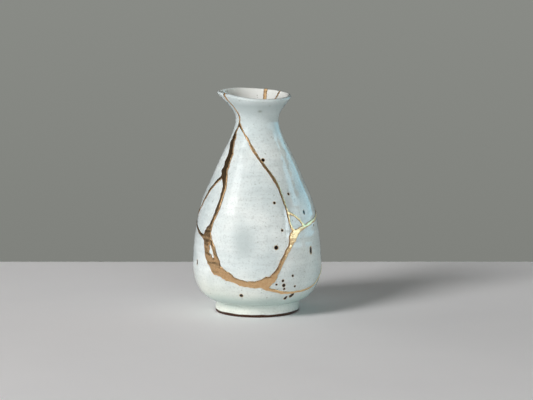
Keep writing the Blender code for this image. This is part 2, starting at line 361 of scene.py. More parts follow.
@dataclass
class VesselForm:
    """The shape that a potter's wheel and hand gave the vessel, before it broke."""

    foot_radius: float = 0.0260
    foot_height: float = 0.0075
    foot_ring_width: float = 0.0055
    foot_recess: float = 0.0055
    foot_round: float = 0.0007
    round_points: int = 5
    waist_points: int = 6
    recess_rings: tuple[float, ...] = (0, 0.5, 0.8, 0.95)
    floor_rings: tuple[float, ...] = (0.9, 0.7, 0.4, 0)
    bowl_points: int = 25
    belly_radius: float = 0.0401
    belly_height: float = 0.0305
    neck_radius: float = 0.01325
    neck_height: float = 0.1205
    lip_radius: float = 0.0208
    lip_height: float = 0.1367
    lip_points: int = 13
    belly_wall: float = 0.0040
    neck_wall: float = 0.0030
    lip_wall: float = 0.0023
    # The outside ends this share of the lip's wall below the lip's top
    edge_drop: float = 0.75
    spout_angle: float = -80.0
    spout_spread: float = 26.0
    spout_pull: float = 0.0042
    spout_start: float = 0.0150
    spout_ease: float = 1.6
    lip_rise_left: float = 0.0015
    lip_rise_back: float = 0.0006
    lip_sag: float = 0.0007
    # The uneven lip begins below the neck, by this share of the height from neck to lip
    warp_start: float = 0.1
    # Throwing rings, with finer ones among them, which start above the foot
    ring_depth: float = 0.00005
    ring_pitch: float = 0.0062
    fine_ring_share: float = 0.6
    fine_ring_pitch: float = 0.43
    fine_ring_shift: float = 1.3
    ring_start: float = 0.0150
    ring_ease: float = 0.0075
    step: float = 0.0012
    sides: int = 160
    # Shares of the way from belly to neck, and from neck to lip: height, and change of radius
    body_curve: tuple[tuple[float, float], ...] = (
        (0.00, 0.000),
        (0.14, 0.032),
        (0.28, 0.100),
        (0.43, 0.216),
        (0.58, 0.430),
        (0.745, 0.675),
        (0.865, 0.874),
        (0.95, 0.976),
        (1.00, 1.000),
    )
    flare_curve: tuple[tuple[float, float], ...] = ((0.00, 0.00), (0.28, 0.14), (0.63, 0.53), (1.00, 1.00))

    def __post_init__(self) -> None:
        """Work out the outside and inside skins and the distance of each point from the lip's top."""
        self.outside = np.vstack([self.bowl(), self.side()])
        across = self.across(self.outside)
        # The bowl leaves the foot level, so its first normal points straight down
        across[0] = (0, -1)
        walls = np.interp(
            self.outside[:, 1],
            [self.belly_height, self.neck_height, self.lip_height],
            [self.belly_wall, self.neck_wall, self.lip_wall],
        )
        self.inside = self.outside - across * walls[:, None]
        middle = (self.outside[-1] + self.inside[-1]) / 2
        arm = self.outside[-1] - middle
        over = np.array([-arm[1], arm[0]])
        turns = np.linspace(0, math.pi, self.lip_points)[1:-1]
        self.lip = np.array([middle + arm * math.cos(t) + over * math.sin(t) for t in turns])
        self.skin = np.vstack([self.outside, self.lip, self.inside[::-1]])
        lengths = np.linalg.norm(np.diff(self.skin, axis=0), axis=1)
        self.run = np.concatenate([[0], np.cumsum(lengths)])
        self.run -= self.run[len(self.outside) + len(self.lip) // 2]
        self.skin_across = self.across(self.skin)

    @staticmethod
    def across(outline: np.ndarray) -> np.ndarray:
        """The unit normals of an outline that runs up the outside.

        Args:
            outline: Rows of radius and height.

        Returns:
            Rows of radial and upright parts.
        """
        along = np.gradient(outline, axis=0)
        along /= np.linalg.norm(along, axis=1)[:, None]
        return np.stack([along[:, 1], -along[:, 0]], 1)

    def bowl(self) -> np.ndarray:
        """The rounded underside, a quarter ellipse from the foot ring out to the belly."""
        turns = np.linspace(0, math.pi / 2, self.bowl_points)
        radii = self.foot_radius + (self.belly_radius - self.foot_radius) * np.sin(turns)
        heights = self.foot_height + (self.belly_height - self.foot_height) * (1 - np.cos(turns))
        return np.stack([radii, heights], 1)

    def side(self) -> np.ndarray:
        """The outside from just above the belly to the lip's edge."""
        edge = self.lip_height - self.edge_drop * self.lip_wall
        body_size = (self.neck_height - self.belly_height, self.neck_radius - self.belly_radius)
        flare_size = (edge - self.neck_height, self.lip_radius - self.neck_radius)
        body = np.array(self.body_curve) * body_size + (self.belly_height, self.belly_radius)
        flare = np.array(self.flare_curve[1:]) * flare_size + (self.neck_height, self.neck_radius)
        count = round((edge - self.belly_height) / self.step)
        heights = np.linspace(self.belly_height, edge, count + 1)[1:]
        return np.stack([through(np.vstack([body, flare]), heights)[:, 0], heights], 1)

    def turned(self) -> bpy.types.Object:
        """Turn the whole section into a closed vessel.

        Returns:
            The vessel, before its hand-made lip.
        """
        ring = self.foot_radius - self.foot_ring_width
        turns = np.linspace(0, math.pi / 2, self.round_points)
        corner = [(self.foot_round * (1 - math.sin(t)), self.foot_round * (1 - math.cos(t))) for t in turns]
        inner = [(ring + out, up) for out, up in corner[::-1]]
        outer = [(self.foot_radius - out, up) for out, up in corner]
        recess = [(share * ring, self.foot_recess) for share in self.recess_rings]
        under = [(ring, self.foot_recess), (ring, self.foot_recess / 2)]
        levels = np.linspace(outer[-1][1], self.foot_height, self.waist_points)[1:-1]
        waist = [(self.foot_radius, height) for height in levels]
        floor = [(share * self.inside[0][0], self.inside[0][1]) for share in self.floor_rings]
        outline = recess + under + inner + outer + waist + [tuple(row) for row in self.skin] + floor
        mesh = bmesh.new()
        points = [mesh.verts.new((radius, 0, height)) for radius, height in outline]
        edges = [mesh.edges.new(pair) for pair in zip(points, points[1:])]
        bmesh.ops.spin(
            mesh,
            geom=points + edges,
            cent=(0, 0, 0),
            axis=(0, 0, 1),
            angle=2 * math.pi,
            steps=self.sides,
            use_merge=True,
        )
        bmesh.ops.remove_doubles(mesh, verts=mesh.verts, dist=MERGE_DISTANCE)
        bmesh.ops.recalc_face_normals(mesh, faces=mesh.faces)
        return placed("vessel", mesh)

    def run_at(self, share: float, side: Side) -> float:
        """How far from the lip's top a place lies, along the section.

        Args:
            share: The place's height outside, as a share of the lip's height.
            side: Which skin of the wall it lies on.

        Returns:
            The distance, below nought on the outside.
        """
        count = len(self.outside)
        heights = np.append(self.outside[:, 1], self.lip_height)
        runs = self.run[:count] if side is Side.OUTSIDE else self.run[::-1][:count]
        return float(np.interp(share * self.lip_height, heights, np.append(runs, 0)))

    def place(self, angle: float, run: float) -> tuple[Vector, Vector]:
        """A point of the skin and its outward normal.

        Args:
            angle: Degrees from the front.
            run: Distance from the lip's top along the section.

        Returns:
            The point and the normal, before the hand-made lip.
        """
        radius, height = (np.interp(run, self.run, self.skin[:, i]) for i in (0, 1))
        across, up = (np.interp(run, self.run, self.skin_across[:, i]) for i in (0, 1))
        turn = math.radians(angle)
        side = Vector((math.sin(turn), -math.cos(turn), 0))
        normal = side * across + Vector((0, 0, up))
        return side * radius + Vector((0, 0, height)), normal.normalized()

    def by_hand(self, points: np.ndarray) -> np.ndarray:
        """Give points of the turned vessel the uneven, pulled shape that the real one has.

        Args:
            points: Rows of x, y and z.

        Returns:
            The moved rows.
        """
        x, y, z = points.T
        start = self.neck_height - self.warp_start * (self.lip_height - self.neck_height)
        rise = np.maximum(0, (z - start) / (self.lip_height - start))
        eased = rise * rise * (3 - 2 * np.minimum(rise, 1))
        radius = np.hypot(x, y)
        angle = np.degrees(np.arctan2(x, -y))
        off = (angle - self.spout_angle + 180) % 360 - 180
        stretch = np.maximum(0, (z - self.lip_height + self.spout_start) / self.spout_start)
        pull = self.spout_pull * stretch**self.spout_ease * np.exp(-((off / self.spout_spread) ** 2))
        pull *= np.minimum(1, radius / self.neck_radius)
        lift = eased * (self.lip_rise_back * y - self.lip_rise_left * x) / self.lip_radius
        lift -= eased * self.lip_sag * np.cos(np.radians(angle)) ** 2
        turn = math.radians(self.spout_angle)
        body = np.clip((z - self.ring_start) / self.ring_ease, 0, 1)
        wave = np.sin(2 * math.pi * z / self.ring_pitch + np.radians(angle))
        fine = 2 * math.pi * z / (self.fine_ring_pitch * self.ring_pitch) + self.fine_ring_shift
        wave += self.fine_ring_share * np.sin(fine - np.radians(angle))
        swell = self.ring_depth * body * wave / np.maximum(radius, MM)
        return np.stack(
            [
                x * (1 + swell) + pull * math.sin(turn),
                y * (1 + swell) - pull * math.cos(turn),
                z + lift,
            ],
            1,
        )


def from_lip(crack: Crack) -> bool:
    """Whether a crack starts at the lip."""
    return crack[0][1] == 1.0


def stations(form: VesselForm, route: np.ndarray, step: float, overrun: float = 0.0) -> list[tuple]:
    """Points along a route on the skin at an even step.

    Args:
        form: The vessel's shape.
        route: Rows of angle, distance from the lip's top and width.
        step: The distance between points.
        overrun: How far the two ends run on.

    Returns:
        For each point its place, normal, width and direction.
    """
    spots = [form.place(angle, run)[0] for angle, run, _ in route]
    along = np.concatenate([[0], np.cumsum([(b - a).length for a, b in zip(spots, spots[1:])])])
    places = np.linspace(0, along[-1], max(2, round(along[-1] / step)) + 1)
    rows = through(np.column_stack([along, route]), places)
    found = [(*form.place(angle, run), width) for angle, run, width in rows]
    points = [row[0] for row in found]
    last = len(points) - 1
    ways = [(points[min(i + 1, last)] - points[max(i - 1, 0)]).normalized() for i in range(last + 1)]
    found[0][0][:] = points[0] - ways[0] * overrun
    found[-1][0][:] = points[-1] + ways[-1] * overrun
    return [(*row, way) for row, way in zip(found, ways)]


def swept(name: str, rings: list[list[Vector]]) -> bpy.types.Object:
    """Extrude a closed section from ring to ring.

    Args:
        name: The object's name.
        rings: The section's corners at each station.

    Returns:
        A closed solid.
    """
    mesh = bmesh.new()
    face = mesh.faces.new([mesh.verts.new(co) for co in rings[0]])
    corners = list(face.verts)
    for ring in rings[1:]:
        edges = [mesh.edges.get(pair) for pair in zip(corners, corners[1:] + corners[:1])]
        made = bmesh.ops.extrude_edge_only(mesh, edges=edges)["geom"]
        fresh = {item for item in made if isinstance(item, bmesh.types.BMVert)}
        corners = [
            next(e.other_vert(corner) for e in corner.link_edges if e.other_vert(corner) in fresh)
            for corner in corners
        ]
        for vert, co in zip(corners, ring):
            vert.co = co
    mesh.faces.new(corners)
    bmesh.ops.recalc_face_normals(mesh, faces=mesh.faces)
    return placed(name, mesh)


@dataclass(frozen=True)
class Speck:
    """A mark in the glaze: degrees from the front, then its height and width in millimetres.

    Its stretch is how many times taller than wide it is.
    """

    angle: float
    height: float
    size: float
    stretch: float = 1.0


@dataclass(frozen=True)
class CeladonGlaze:
    """Pale celadon over stoneware: a glassy, slightly bluish glaze, fired glossy.

    It gives the eye a soft white body under a sharp reflection, a greener tone in the crease above
    the foot where it gathered, darkened there with painted shade, painted shade below the lip and on
    the right, a lighter inside painted for light inside the mouth, black iron specks with amber rims,
    and bare brown clay where the foot was wiped.
    """

    body: str = "#DFE6E5"
    cool: str = "#C9D4D5"
    # A grey for painted shade below the lip and on the right, and for greyer patches
    thin: str = "#ABB7B8"
    # Glaze gathered greener in the crease above the foot, and painted shade there under the belly
    pooled_and_shade: str = "#A9BFBA"
    warm: str = "#E0E0C8"
    # A whiter glaze inside, painted lighter too to stand in for light inside the mouth
    whiter_lit_inside: str = "#E9ECE9"
    iron: str = "#070504"
    amber: str = "#B0843C"
    faint: str = "#7F8578"
    clay: str = "#4A2E20"
    clay_pit: str = "#2A1810"
    ior: float = 1.5
    roughness: float = 0.04
    roughness_swing: float = 0.04
    clay_matt: float = 0.7
    gloss_patch: float = 9 * MM
    mottle: float = 24 * MM
    mottle_stops: Stops = ((0.38, 0.0), (0.62, 1.0))
    streak: float = 2.2 * MM
    streak_squeeze: tuple[float, float, float] = (0.12, 0.12, 1.0)
    streak_stops: Stops = ((0.35, 0.91), (0.65, 1.0))
    # Real pores are some 0.3 mm across: these are as coarse as they need to be to show
    pore: float = 1.1 * MM
    pore_stops: Stops = ((0.36, 0.86), (0.48, 1.0))
    haze_and_shade_stops: Stops = ((0.3, 0.62), (1.0, 0.0))
    # Painted shade in a band on the outside below the flared lip, as shares of the lip's height
    lip_shade_stops: Stops = ((0.82, 0.0), (0.90, 0.5), (0.955, 1.0), (0.985, 0.2))
    warm_top: float = 34 * MM
    warm_bottom: float = 9 * MM
    warm_share: float = 0.5
    # The crease above the foot, where glaze gathers greener and shade is painted under the belly
    crease_height: float = 9.8 * MM
    crease_reach: float = 7.5 * MM
    crease_full: float = 0.1 * MM
    crease_share: float = 0.75
    wander: float = 0.9 * MM
    wander_reach: float = 0.45 * MM
    fine_speck: float = 2.4 * MM
    dust_share: float = 0.22
    dust_swing: float = 0.30
    dust_least: float = 0.06
    dust_spread: float = 0.14
    dust_tone: float = 0.55
    faint_stops: Stops = ((0.25, 0.6), (1.0, 0.0))
    halo_stops: Stops = ((0.55, 0.85), (0.80, 0.0))
    core_stops: Stops = ((0.50, 1.0), (0.60, 0.0))
    clay_line: float = 1.7 * MM
    wipe: float = 7 * MM
    wipe_swing: float = 0.9 * MM
    wipe_edge: float = 0.12 * MM
    grit: float = 0.6 * MM
    grit_relief: float = 1.5
    orange_peel: float = 2.6 * MM
    streak_relief: float = 0.6
    relief: float = 0.08 * MM
    bump: float = 0.25
    # Iron specks, black with an amber rim
    dark_specks: tuple[Speck, ...] = (
        Speck(9.6, 97.8, 1.9),
        Speck(17.6, 46.0, 2.2),
        Speck(57.2, 41.5, 2.0, 2.0),
        Speck(-15.2, 15.8, 1.9),
        Speck(29.2, 13.2, 1.8),
        Speck(30.0, 14.0, 1.4),
        Speck(35.0, 14.4, 2.0),
        Speck(36.4, 15.2, 1.9),
        Speck(54.4, 65.2, 1.5, 1.8),
        Speck(-68.0, 32.8, 1.5, 1.9),
        Speck(18.8, 72.8, 1.4),
        Speck(38.4, 77.2, 1.4),
        Speck(23.6, 25.2, 1.4),
        Speck(24.8, 22.2, 1.8),
        Speck(25.6, 19.8, 1.3),
        Speck(17.6, 23.0, 1.2),
        Speck(33.2, 27.8, 1.3),
        Speck(36.8, 20.8, 1.2),
        Speck(24.4, 56.2, 1.3),
        Speck(69.2, 55.8, 0.9, 1.3),
        Speck(90.4, 98.2, 1.3, 2.0),
        Speck(82.0, 37.2, 0.9, 2.0),
        Speck(128.0, 30.0, 1.6),
        Speck(152.0, 62.0, 1.4),
        Speck(171.0, 22.0, 1.9),
        Speck(197.0, 88.0, 1.5),
        Speck(219.0, 47.0, 1.3),
        Speck(236.0, 26.0, 1.7),
        Speck(262.0, 70.0, 1.2),
    )
    # Broad soft greyer places: the one below the lip on the right and the one on the right side are painted
    # shade
    hazes_and_shade: tuple[Speck, ...] = (
        Speck(-13.0, 50.0, 17.0, 1.7),
        Speck(66.0, 120.0, 24.0, 0.9),
        Speck(32.0, 70.0, 12.5, 1.8),
        Speck(150.0, 60.0, 26.0, 1.2),
        Speck(-130.0, 40.0, 24.0, 0.8),
    )
    # Small specks that stayed under the glaze
    faint_specks: tuple[Speck, ...] = (
        Speck(4.0, 18.0, 1.2),
        Speck(19.6, 77.2, 1.3),
        Speck(9.6, 14.5, 1.5),
        Speck(70.8, 42.8, 1.1),
        Speck(47.6, 42.2, 1.0),
        Speck(66.0, 68.2, 1.1),
        Speck(26.0, 65.8, 1.0),
        Speck(20.0, 64.8, 0.8),
        Speck(16.4, 64.8, 0.8),
        Speck(42.4, 75.5, 1.2),
        Speck(44.4, 73.5, 1.1, 1.6),
        Speck(12.8, 71.0, 0.9),
        Speck(29.6, 84.8, 1.1),
        Speck(28.4, 100.2, 0.9),
        Speck(34.0, 110.8, 1.3),
        Speck(48.8, 91.8, 1.1),
        Speck(-2.4, 83.8, 1.0),
        Speck(3.2, 84.5, 1.1),
        Speck(8.4, 61.2, 0.9),
        Speck(-2.0, 58.0, 0.9),
        Speck(-64.8, 19.8, 1.0),
        Speck(-25.2, 21.0, 1.0),
        Speck(-54.8, 71.8, 1.6),
        Speck(-70.0, 95.0, 1.0),
        Speck(-32.0, 134.2, 1.5),
        Speck(10.0, 10.5, 1.0),
        Speck(-33.6, 7.0, 1.0),
        Speck(6.4, 127.8, 3.8, 0.7),
        Speck(112.0, 84.0, 1.2),
        Speck(140.0, 44.0, 1.0),
        Speck(186.0, 34.0, 1.2),
        Speck(208.0, 104.0, 1.1),
        Speck(248.0, 54.0, 1.2),
    )

    @staticmethod
    def nearest(tree: Tree, where: Socket, form: VesselForm, specks: tuple[Speck, ...]) -> Socket:
        """The distance to the nearest mark, in that mark's radii.

        Args:
            tree: The material's node tree.
            where: The place on the piece.
            form: The vessel's shape, which the marks lie on.
            specks: The marks.

        Returns:
            The distance's output.
        """
        least = None
        for speck in specks:
            run = form.run_at(speck.height * MM / form.lip_height, Side.OUTSIDE)
            point = form.by_hand(np.array([form.place(speck.angle, run)[0]]))[0]
            scale = Vector((1, 1, 1 / speck.stretch)) * (2 / (speck.size * MM))
            shift = Vector([-p * s for p, s in zip(point, scale)])
            near = add(tree, "VectorMath", {0: where, 1: scale, 2: shift}, operation="MULTIPLY_ADD")
            far = add(tree, "VectorMath", {0: near}, "Value", operation="LENGTH")
            if least is None:
                least = far
            else:
                least = add(tree, "Math", {0: least, 1: far}, operation="MINIMUM")
        return least

    def ground(self, tree: Tree, where: Socket) -> tuple[Socket, Socket]:
        """The glaze's white with its mottle, the streaks round the vase and the pores.

        Args:
            tree: The material's node tree.
            where: The place on the piece.

        Returns:
            The colour, and the streaks, which the bump follows too.
        """
        mottle = add(tree, "TexNoise", {"Vector": where, "Scale": 1 / self.mottle, "Detail": 3.0})
        cloud = add(tree, "ValToRGB", {0: mottle}, stops=self.mottle_stops)
        colour = add(tree, "Mix", {0: cloud, 6: self.body, 7: self.cool}, 2, data_type="RGBA")
        band = add(tree, "Mapping", {"Vector": where, "Scale": self.streak_squeeze})
        streak = add(tree, "TexNoise", {"Vector": band, "Scale": 1 / self.streak, "Detail": 4.0})
        pore = add(tree, "TexNoise", {"Vector": where, "Scale": 1 / self.pore, "Detail": 3.0})
        for pattern, stops in ((streak, self.streak_stops), (pore, self.pore_stops)):
            shade = add(tree, "ValToRGB", {0: pattern}, stops=stops)
            both = {0: 1.0, 6: colour, 7: shade}
            colour = add(tree, "Mix", both, 2, data_type="RGBA", blend_type="MULTIPLY")
        return colour, streak

    def tones(self, tree: Tree, where: Socket, form: VesselForm) -> list[tuple[Socket, str]]:
        """Greyer patches and painted shade below the lip and on the right, warmth low on the left, greener
        glaze with painted shade in the crease above the foot, and the whiter inside painted lighter.

        Args:
            tree: The material's node tree.
            where: The place on the piece.
            form: The vessel's shape.

        Returns:
            Layers from the lowest up, each with its share and its colour.
        """
        part = add(tree, "SeparateXYZ", {0: where}).node.outputs
        x, height = part["X"], part["Z"]
        # Greyer patches, the two on the right painted shade
        near = self.nearest(tree, where, form, self.hazes_and_shade)
        haze_and_shade = add(tree, "ValToRGB", {0: near}, stops=self.haze_and_shade_stops)
        facing = add(tree, "NewGeometry", out="Normal")
        flat = add(tree, "VectorMath", {0: where, 1: (1, 1, 0)}, operation="MULTIPLY")
        outward = add(tree, "VectorMath", {0: facing, 1: flat}, "Value", operation="DOT_PRODUCT")
        outside = add(tree, "Math", {0: outward, 1: 0.0}, operation="GREATER_THAN")
        inside = add(tree, "Math", {0: 1.0, 1: outside}, operation="SUBTRACT")
        # Painted shade in a band on the outside below the flared lip
        share = add(tree, "Math", {0: height, 1: 1 / form.lip_height}, operation="MULTIPLY")
        lip_shade_band = add(tree, "ValToRGB", {0: share}, stops=self.lip_shade_stops)
        lip_shade = add(tree, "Math", {0: lip_shade_band, 1: outside}, operation="MULTIPLY")
        warm_zone = {"Value": height, "From Min": self.warm_top, "From Max": self.warm_bottom}
        low = add(tree, "MapRange", warm_zone, interpolation_type="SMOOTHSTEP")
        left_share = {0: x, 1: -1 / (2 * form.belly_radius), 2: 0.5}
        leftward = add(tree, "Math", left_share, operation="MULTIPLY_ADD", use_clamp=True)
        low_left = add(tree, "Math", {0: low, 1: leftward}, operation="MULTIPLY")
        warmth = add(tree, "Math", {0: low_left, 1: self.warm_share}, operation="MULTIPLY")
        # Greener glaze and painted shade in the crease above the foot
        above = add(tree, "Math", {0: height, 1: self.crease_height}, operation="SUBTRACT")
        away = add(tree, "Math", {0: above}, operation="ABSOLUTE")
        crease_zone = {"Value": away, "From Min": self.crease_reach, "From Max": self.crease_full}
        crease_zone["To Max"] = self.crease_share
        pool = add(tree, "MapRange", crease_zone, interpolation_type="SMOOTHSTEP")
        return [
            (haze_and_shade, self.thin),
            (lip_shade, self.thin),
            # The whiter inside, painted lighter
            (inside, self.whiter_lit_inside),
            (warmth, self.warm),
            (pool, self.pooled_and_shade),
        ]

    def marks(self, tree: Tree, where: Socket, form: VesselForm) -> list[tuple[Socket, str]]:
        """The iron that bled through: dust, faint specks, and dark specks with amber rims.

        Args:
            tree: The material's node tree.
            where: The place on the piece.
            form: The vessel's shape.

        Returns:
            Layers from the lowest up, each with its share and its colour.
        """
        ragged = add(tree, "TexNoise", {"Vector": where, "Scale": 1 / self.wander, "Detail": 2.0}, "Color")
        shift = {0: ragged, 1: (self.wander_reach,) * 3, 2: where}
        uneven = add(tree, "VectorMath", shift, operation="MULTIPLY_ADD")
        centred = add(tree, "VectorMath", {0: uneven, 1: (-self.wander_reach / 2,) * 3}, operation="ADD")
        grid = {"Vector": centred, "Scale": 1 / self.fine_speck, "Randomness": 1.0}
        cells = add(tree, "TexVoronoi", grid).node.outputs
        lot = add(tree, "SeparateColor", {0: cells["Color"]}).node.outputs
        x = add(tree, "SeparateXYZ", {0: where}, "X")
        right_share = {0: x, 1: self.dust_swing / form.belly_radius, 2: self.dust_share}
        rightward = add(tree, "Math", right_share, operation="MULTIPLY_ADD")
        chosen = add(tree, "Math", {0: lot[0], 1: rightward}, operation="LESS_THAN")
        dust_size = {0: lot[1], 1: self.dust_spread, 2: self.dust_least}
        size = add(tree, "Math", dust_size, operation="MULTIPLY_ADD")
        dot = add(tree, "Math", {0: cells["Distance"], 1: size}, operation="LESS_THAN")
        dots = add(tree, "Math", {0: chosen, 1: dot}, operation="MULTIPLY")
        dust = add(tree, "Math", {0: dots, 1: self.dust_tone}, operation="MULTIPLY")
        faint = self.nearest(tree, centred, form, self.faint_specks)
        fade = add(tree, "ValToRGB", {0: faint}, stops=self.faint_stops)
        dark = self.nearest(tree, centred, form, self.dark_specks)
        # A ramp ends at one, and the rims reach further, so both ramps read half the distance
        halved = add(tree, "Math", {0: dark, 1: 0.5}, operation="MULTIPLY")
        halo = add(tree, "ValToRGB", {0: halved}, stops=self.halo_stops)
        core = add(tree, "ValToRGB", {0: halved}, stops=self.core_stops)
        return [(dust, self.faint), (fade, self.faint), (halo, self.amber), (core, self.iron)]

    def foot(self, tree: Tree, where: Socket) -> tuple[Socket, Socket, Socket]:
        """The bare clay where the foot was wiped.

        Args:
            tree: The material's node tree.
            where: The place on the piece.

        Returns:
            The clay's share, its colour and its grit.
        """
        height = add(tree, "SeparateXYZ", {0: where}, "Z")
        wiped = add(tree, "TexNoise", {"Vector": where, "Scale": 1 / self.wipe, "Detail": 2.0})
        line = {0: wiped, 1: self.wipe_swing, 2: self.clay_line - self.wipe_swing / 2}
        edge = add(tree, "Math", line, operation="MULTIPLY_ADD")
        above = add(tree, "Math", {0: height, 1: edge}, operation="SUBTRACT")
        thinning = {"Value": above, "From Min": self.wipe_edge, "From Max": -self.wipe_edge}
        bare = add(tree, "MapRange", thinning)
        grit = add(tree, "TexNoise", {"Vector": where, "Scale": 1 / self.grit, "Detail": 4.0})
        clay = add(tree, "ValToRGB", {0: grit}, stops=((0.3, self.clay_pit), (0.75, self.clay)))
        return bare, clay, grit

    def material(self, form: VesselForm) -> bpy.types.Material:
        """Build the glaze.

        Args:
            form: The vessel's shape.

        Returns:
            The material.
        """
        made, tree = blank("celadon_glaze")
        where = add(tree, "TexCoord", out="Object")
        colour, streak = self.ground(tree, where)
        bare, clay, grit = self.foot(tree, where)
        layers = self.tones(tree, where, form) + self.marks(tree, where, form) + [(bare, clay)]
        for share, tone in layers:
            colour = add(tree, "Mix", {0: share, 6: colour, 7: tone}, 2, data_type="RGBA")
        patch = add(tree, "TexNoise", {"Vector": where, "Scale": 1 / self.gloss_patch, "Detail": 2.0})
        polish = {0: patch, 1: self.roughness_swing, 2: self.roughness - self.roughness_swing / 2}
        gloss = add(tree, "Math", polish, operation="MULTIPLY_ADD")
        rough = add(tree, "Math", {0: bare, 1: self.clay_matt, 2: gloss}, operation="MULTIPLY_ADD")
        peel = add(tree, "TexNoise", {"Vector": where, "Scale": 1 / self.orange_peel, "Detail": 2.0})
        waves = add(tree, "Math", {0: streak, 1: self.streak_relief, 2: peel}, operation="MULTIPLY_ADD")
        coarse = add(tree, "Math", {0: grit, 1: bare}, operation="MULTIPLY")
        grain = add(tree, "Math", {0: coarse, 1: self.grit_relief, 2: waves}, operation="MULTIPLY_ADD")
        bump = add(tree, "Bump", {"Height": grain, "Strength": self.bump, "Distance": self.relief})
        surface = {"Base Color": colour, "Roughness": rough, "IOR": self.ior, "Normal": bump}
        shader = add(tree, "BsdfPrincipled", surface)
        add(tree, "OutputMaterial", {"Surface": shader})
        return made


@dataclass(frozen=True)
class BrokenClay:
    """The stoneware body where it snapped: coarse, matt and buff grey."""

    pale: str = "#B9AD9A"
    dark: str = "#8C7E6C"
    roughness: float = 0.85
    grain: float = 0.7 * MM
    relief: float = 0.1 * MM

    def material(self) -> bpy.types.Material:
        """Build the broken clay.

        Returns:
            The material.
        """
        made, tree = blank("broken_clay")
        where = add(tree, "TexCoord", out="Object")
        grit = add(tree, "TexNoise", {"Vector": where, "Scale": 1 / self.grain, "Detail": 4.0})
        tone = add(tree, "ValToRGB", {0: grit}, stops=((0.3, self.dark), (0.7, self.pale)))
        bump = add(tree, "Bump", {"Height": grit, "Strength": 1.0, "Distance": self.relief})
        surface = {"Base Color": tone, "Roughness": self.roughness, "Normal": bump}
        shader = add(tree, "BsdfPrincipled", surface)
        add(tree, "OutputMaterial", {"Surface": shader})
        return made


@dataclass(frozen=True)
class GoldPowder:
    """Gold powder burnished over red lacquer: a soft metal gloss on small lumps.

    The powder is thin at a seam's edges, so the red-brown lacquer warms them.
    """

    gold: str = "#FFDFAF"
    deep: str = "#ECB47E"
    lacquer: str = "#4A2412"
    roughness: float = 0.29
    roughness_swing: float = 0.16
    lump: float = 1.5 * MM
    # Real powder is some 0.02 mm: this is as coarse as it needs to be to show
    grain: float = 0.35 * MM
    grain_relief: float = 0.25
    relief: float = 0.1 * MM
    bump: float = 0.5
    edge: float = 0.19 * MM
    edge_share: float = 0.85

    def material(self) -> bpy.types.Material:
        """Build the gold.

        Returns:
            The material, which reads each point's height above the glaze from "rise".
        """
        made, tree = blank("burnished_gold_lacquer")
        where = add(tree, "TexCoord", out="Object")
        rise = add(tree, "Attribute", out="Fac", attribute_name="rise")
        lumps = add(tree, "TexNoise", {"Vector": where, "Scale": 1 / self.lump, "Detail": 3.0})
        grain = add(tree, "TexNoise", {"Vector": where, "Scale": 1 / self.grain, "Detail": 2.0})
        metal = add(tree, "Mix", {0: lumps, 6: self.deep, 7: self.gold}, 2, data_type="RGBA")
        edge = {"Value": rise, "From Min": self.edge, "From Max": 0.0, "To Max": self.edge_share}
        thin = add(tree, "MapRange", edge)
        colour = add(tree, "Mix", {0: thin, 6: metal, 7: self.lacquer}, 2, data_type="RGBA")
        polish = {0: grain, 1: self.roughness_swing, 2: self.roughness - self.roughness_swing / 2}
        rough = add(tree, "Math", polish, operation="MULTIPLY_ADD")
        height = add(tree, "Math", {0: grain, 1: self.grain_relief, 2: lumps}, operation="MULTIPLY_ADD")
        bump = add(tree, "Bump", {"Height": height, "Strength": self.bump, "Distance": self.relief})
        surface = {"Base Color": colour, "Metallic": 1.0, "Roughness": rough, "Normal": bump}
        shader = add(tree, "BsdfPrincipled", surface)
        add(tree, "OutputMaterial", {"Surface": shader})
        return made


@dataclass(frozen=True)
class TablePaint:
    """A pale painted table top: matt, with a faint roller stipple."""

    paint: str = "#FBFBFC"
    shade: str = "#F4F4F6"
    roughness: float = 0.75
    patches_per_metre: float = 12.0
    stipple: float = 2 * MM
    relief: float = 0.2 * MM
    bump: float = 0.1

    def material(self) -> bpy.types.Material:
        """Build the paint.

        Returns:
            The material.
        """
        made, tree = blank("table_paint")
        where = add(tree, "TexCoord", out="Object")
        patch = add(tree, "TexNoise", {"Vector": where, "Scale": self.patches_per_metre, "Detail": 2.0})
        tone = add(tree, "Mix", {0: patch, 6: self.paint, 7: self.shade}, 2, data_type="RGBA")
        fine = add(tree, "TexNoise", {"Vector": where, "Scale": 1 / self.stipple, "Detail": 2.0})
        bump = add(tree, "Bump", {"Height": fine, "Strength": self.bump, "Distance": self.relief})
        surface = {"Base Color": tone, "Roughness": self.roughness, "Normal": bump}
        shader = add(tree, "BsdfPrincipled", surface)
        add(tree, "OutputMaterial", {"Surface": shader})
        return made


